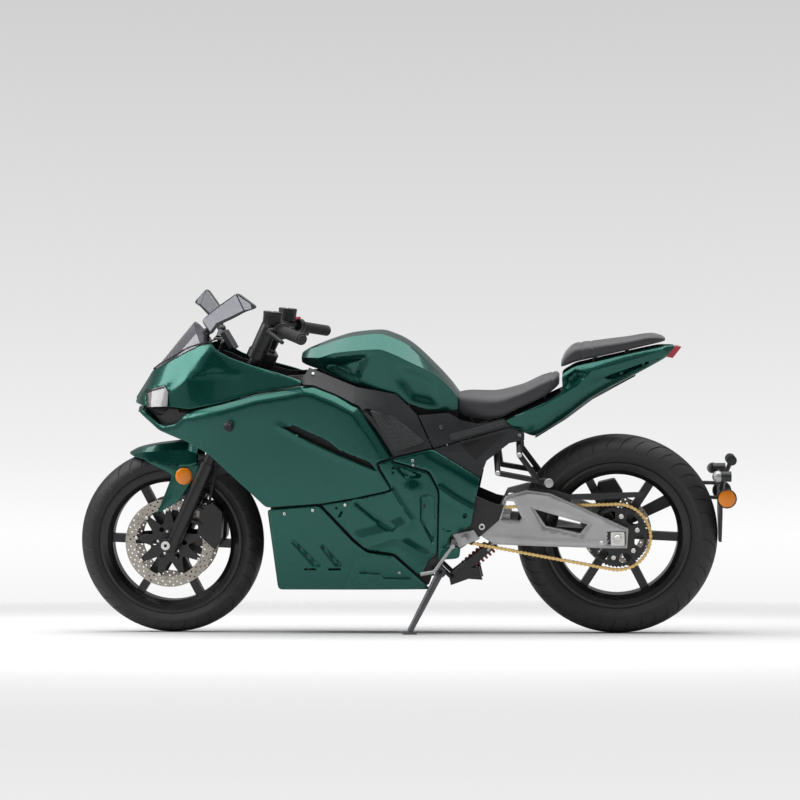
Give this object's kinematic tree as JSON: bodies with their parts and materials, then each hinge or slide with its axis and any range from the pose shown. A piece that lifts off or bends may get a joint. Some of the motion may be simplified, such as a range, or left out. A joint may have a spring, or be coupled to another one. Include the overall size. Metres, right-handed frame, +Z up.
{
  "type": "electric sport motorcycle",
  "caption": "Full-fairing electric sport motorcycle leaning on its side stand, with turning wheels, steering and a folding stand.",
  "frame": {"origin": "on the ground, at the centre of the parked machine's bounding box", "axes": "+X towards the tail, -Y the machine's left side with the stand, +Z up"},
  "size_m": [2.0719, 0.7, 1.1188],
  "materials": {
    "green_paint": "gloss metallic",
    "frame_black": "satin",
    "black_plastic": "satin",
    "seat_leather": "matt",
    "rubber": "matt",
    "tyre": "matt",
    "aluminium": "satin",
    "steel": "brushed",
    "chain_gold": "polished",
    "smoke_glass": "gloss",
    "lens": "gloss",
    "amber": "gloss",
    "red_lens": "gloss",
    "battery_case": "matt"
  },
  "bodies": {
    "chassis": {"battery_pack": "battery_case", "chain_guard": "black_plastic", "dash_display": "black_plastic", "drive_chain": "chain_gold", "drive_motor": "aluminium", "frame_covers": "black_plastic", "headlights": "lens", "inner_panels": "green_paint", "lower_cowls": "green_paint", "main_frame": "frame_black", "mirrors": "black_plastic", "nose_cowl": "green_paint", "passenger_footrests": "frame_black", "pillion_seat": "seat_leather", "plate_carrier": "black_plastic", "rear_axle": "steel", "rear_caliper": "frame_black", "rear_shock": "red_lens", "rear_side_panels": "green_paint", "rear_suspension_link": "frame_black", "rider_footrests": "aluminium", "rider_seat": "seat_leather", "seat_side_covers": "black_plastic", "side_covers": "black_plastic", "side_fairings": "green_paint", "subframe": "frame_black", "swingarm": "aluminium", "tail_cowl": "green_paint", "tail_light": "red_lens", "tail_undertray": "black_plastic", "tank_cover": "green_paint", "windscreen": "smoke_glass"},
    "steering": {"fork_legs": "frame_black", "front_axle": "steel", "fork_yokes": "frame_black", "handlebars": "frame_black", "grips": "rubber", "hand_controls": "frame_black", "front_fender": "green_paint", "fender_reflectors": "amber", "front_calipers": "frame_black", "front_brake_hoses": "rubber"},
    "front_wheel": {"front_rim": "frame_black", "front_tyre": "tyre", "front_brake_discs": "steel"},
    "rear_wheel": {"rear_rim": "frame_black", "rear_tyre": "tyre", "rear_sprocket": "frame_black", "rear_brake_disc": "steel"},
    "side_stand": {"side_stand": "frame_black"}
  },
  "joints": [
    {"name": "steering_head", "type": "hinge", "parent": "chassis", "child": "steering", "pos_m": [-0.46369, 0.02021, 0.79561], "axis": [0.4226, -0.1261, 0.8975], "range_deg": [-27, 27]},
    {"name": "front_wheel_spin", "type": "hinge", "parent": "steering", "child": "front_wheel", "pos_m": [-0.743, 0.09115, 0.29086], "axis": [0, 0.9903, 0.1392], "continuous": true},
    {"name": "rear_wheel_spin", "type": "hinge", "parent": "chassis", "child": "rear_wheel", "pos_m": [0.667, 0.08822, 0.31166], "axis": [0, 0.9903, 0.1392], "continuous": true},
    {"name": "side_stand_fold", "type": "hinge", "parent": "chassis", "child": "side_stand", "pos_m": [0.12, -0.04626, 0.19076], "axis": [0, -0.9976, 0.0698], "range_deg": [0, 102]}
  ]
}
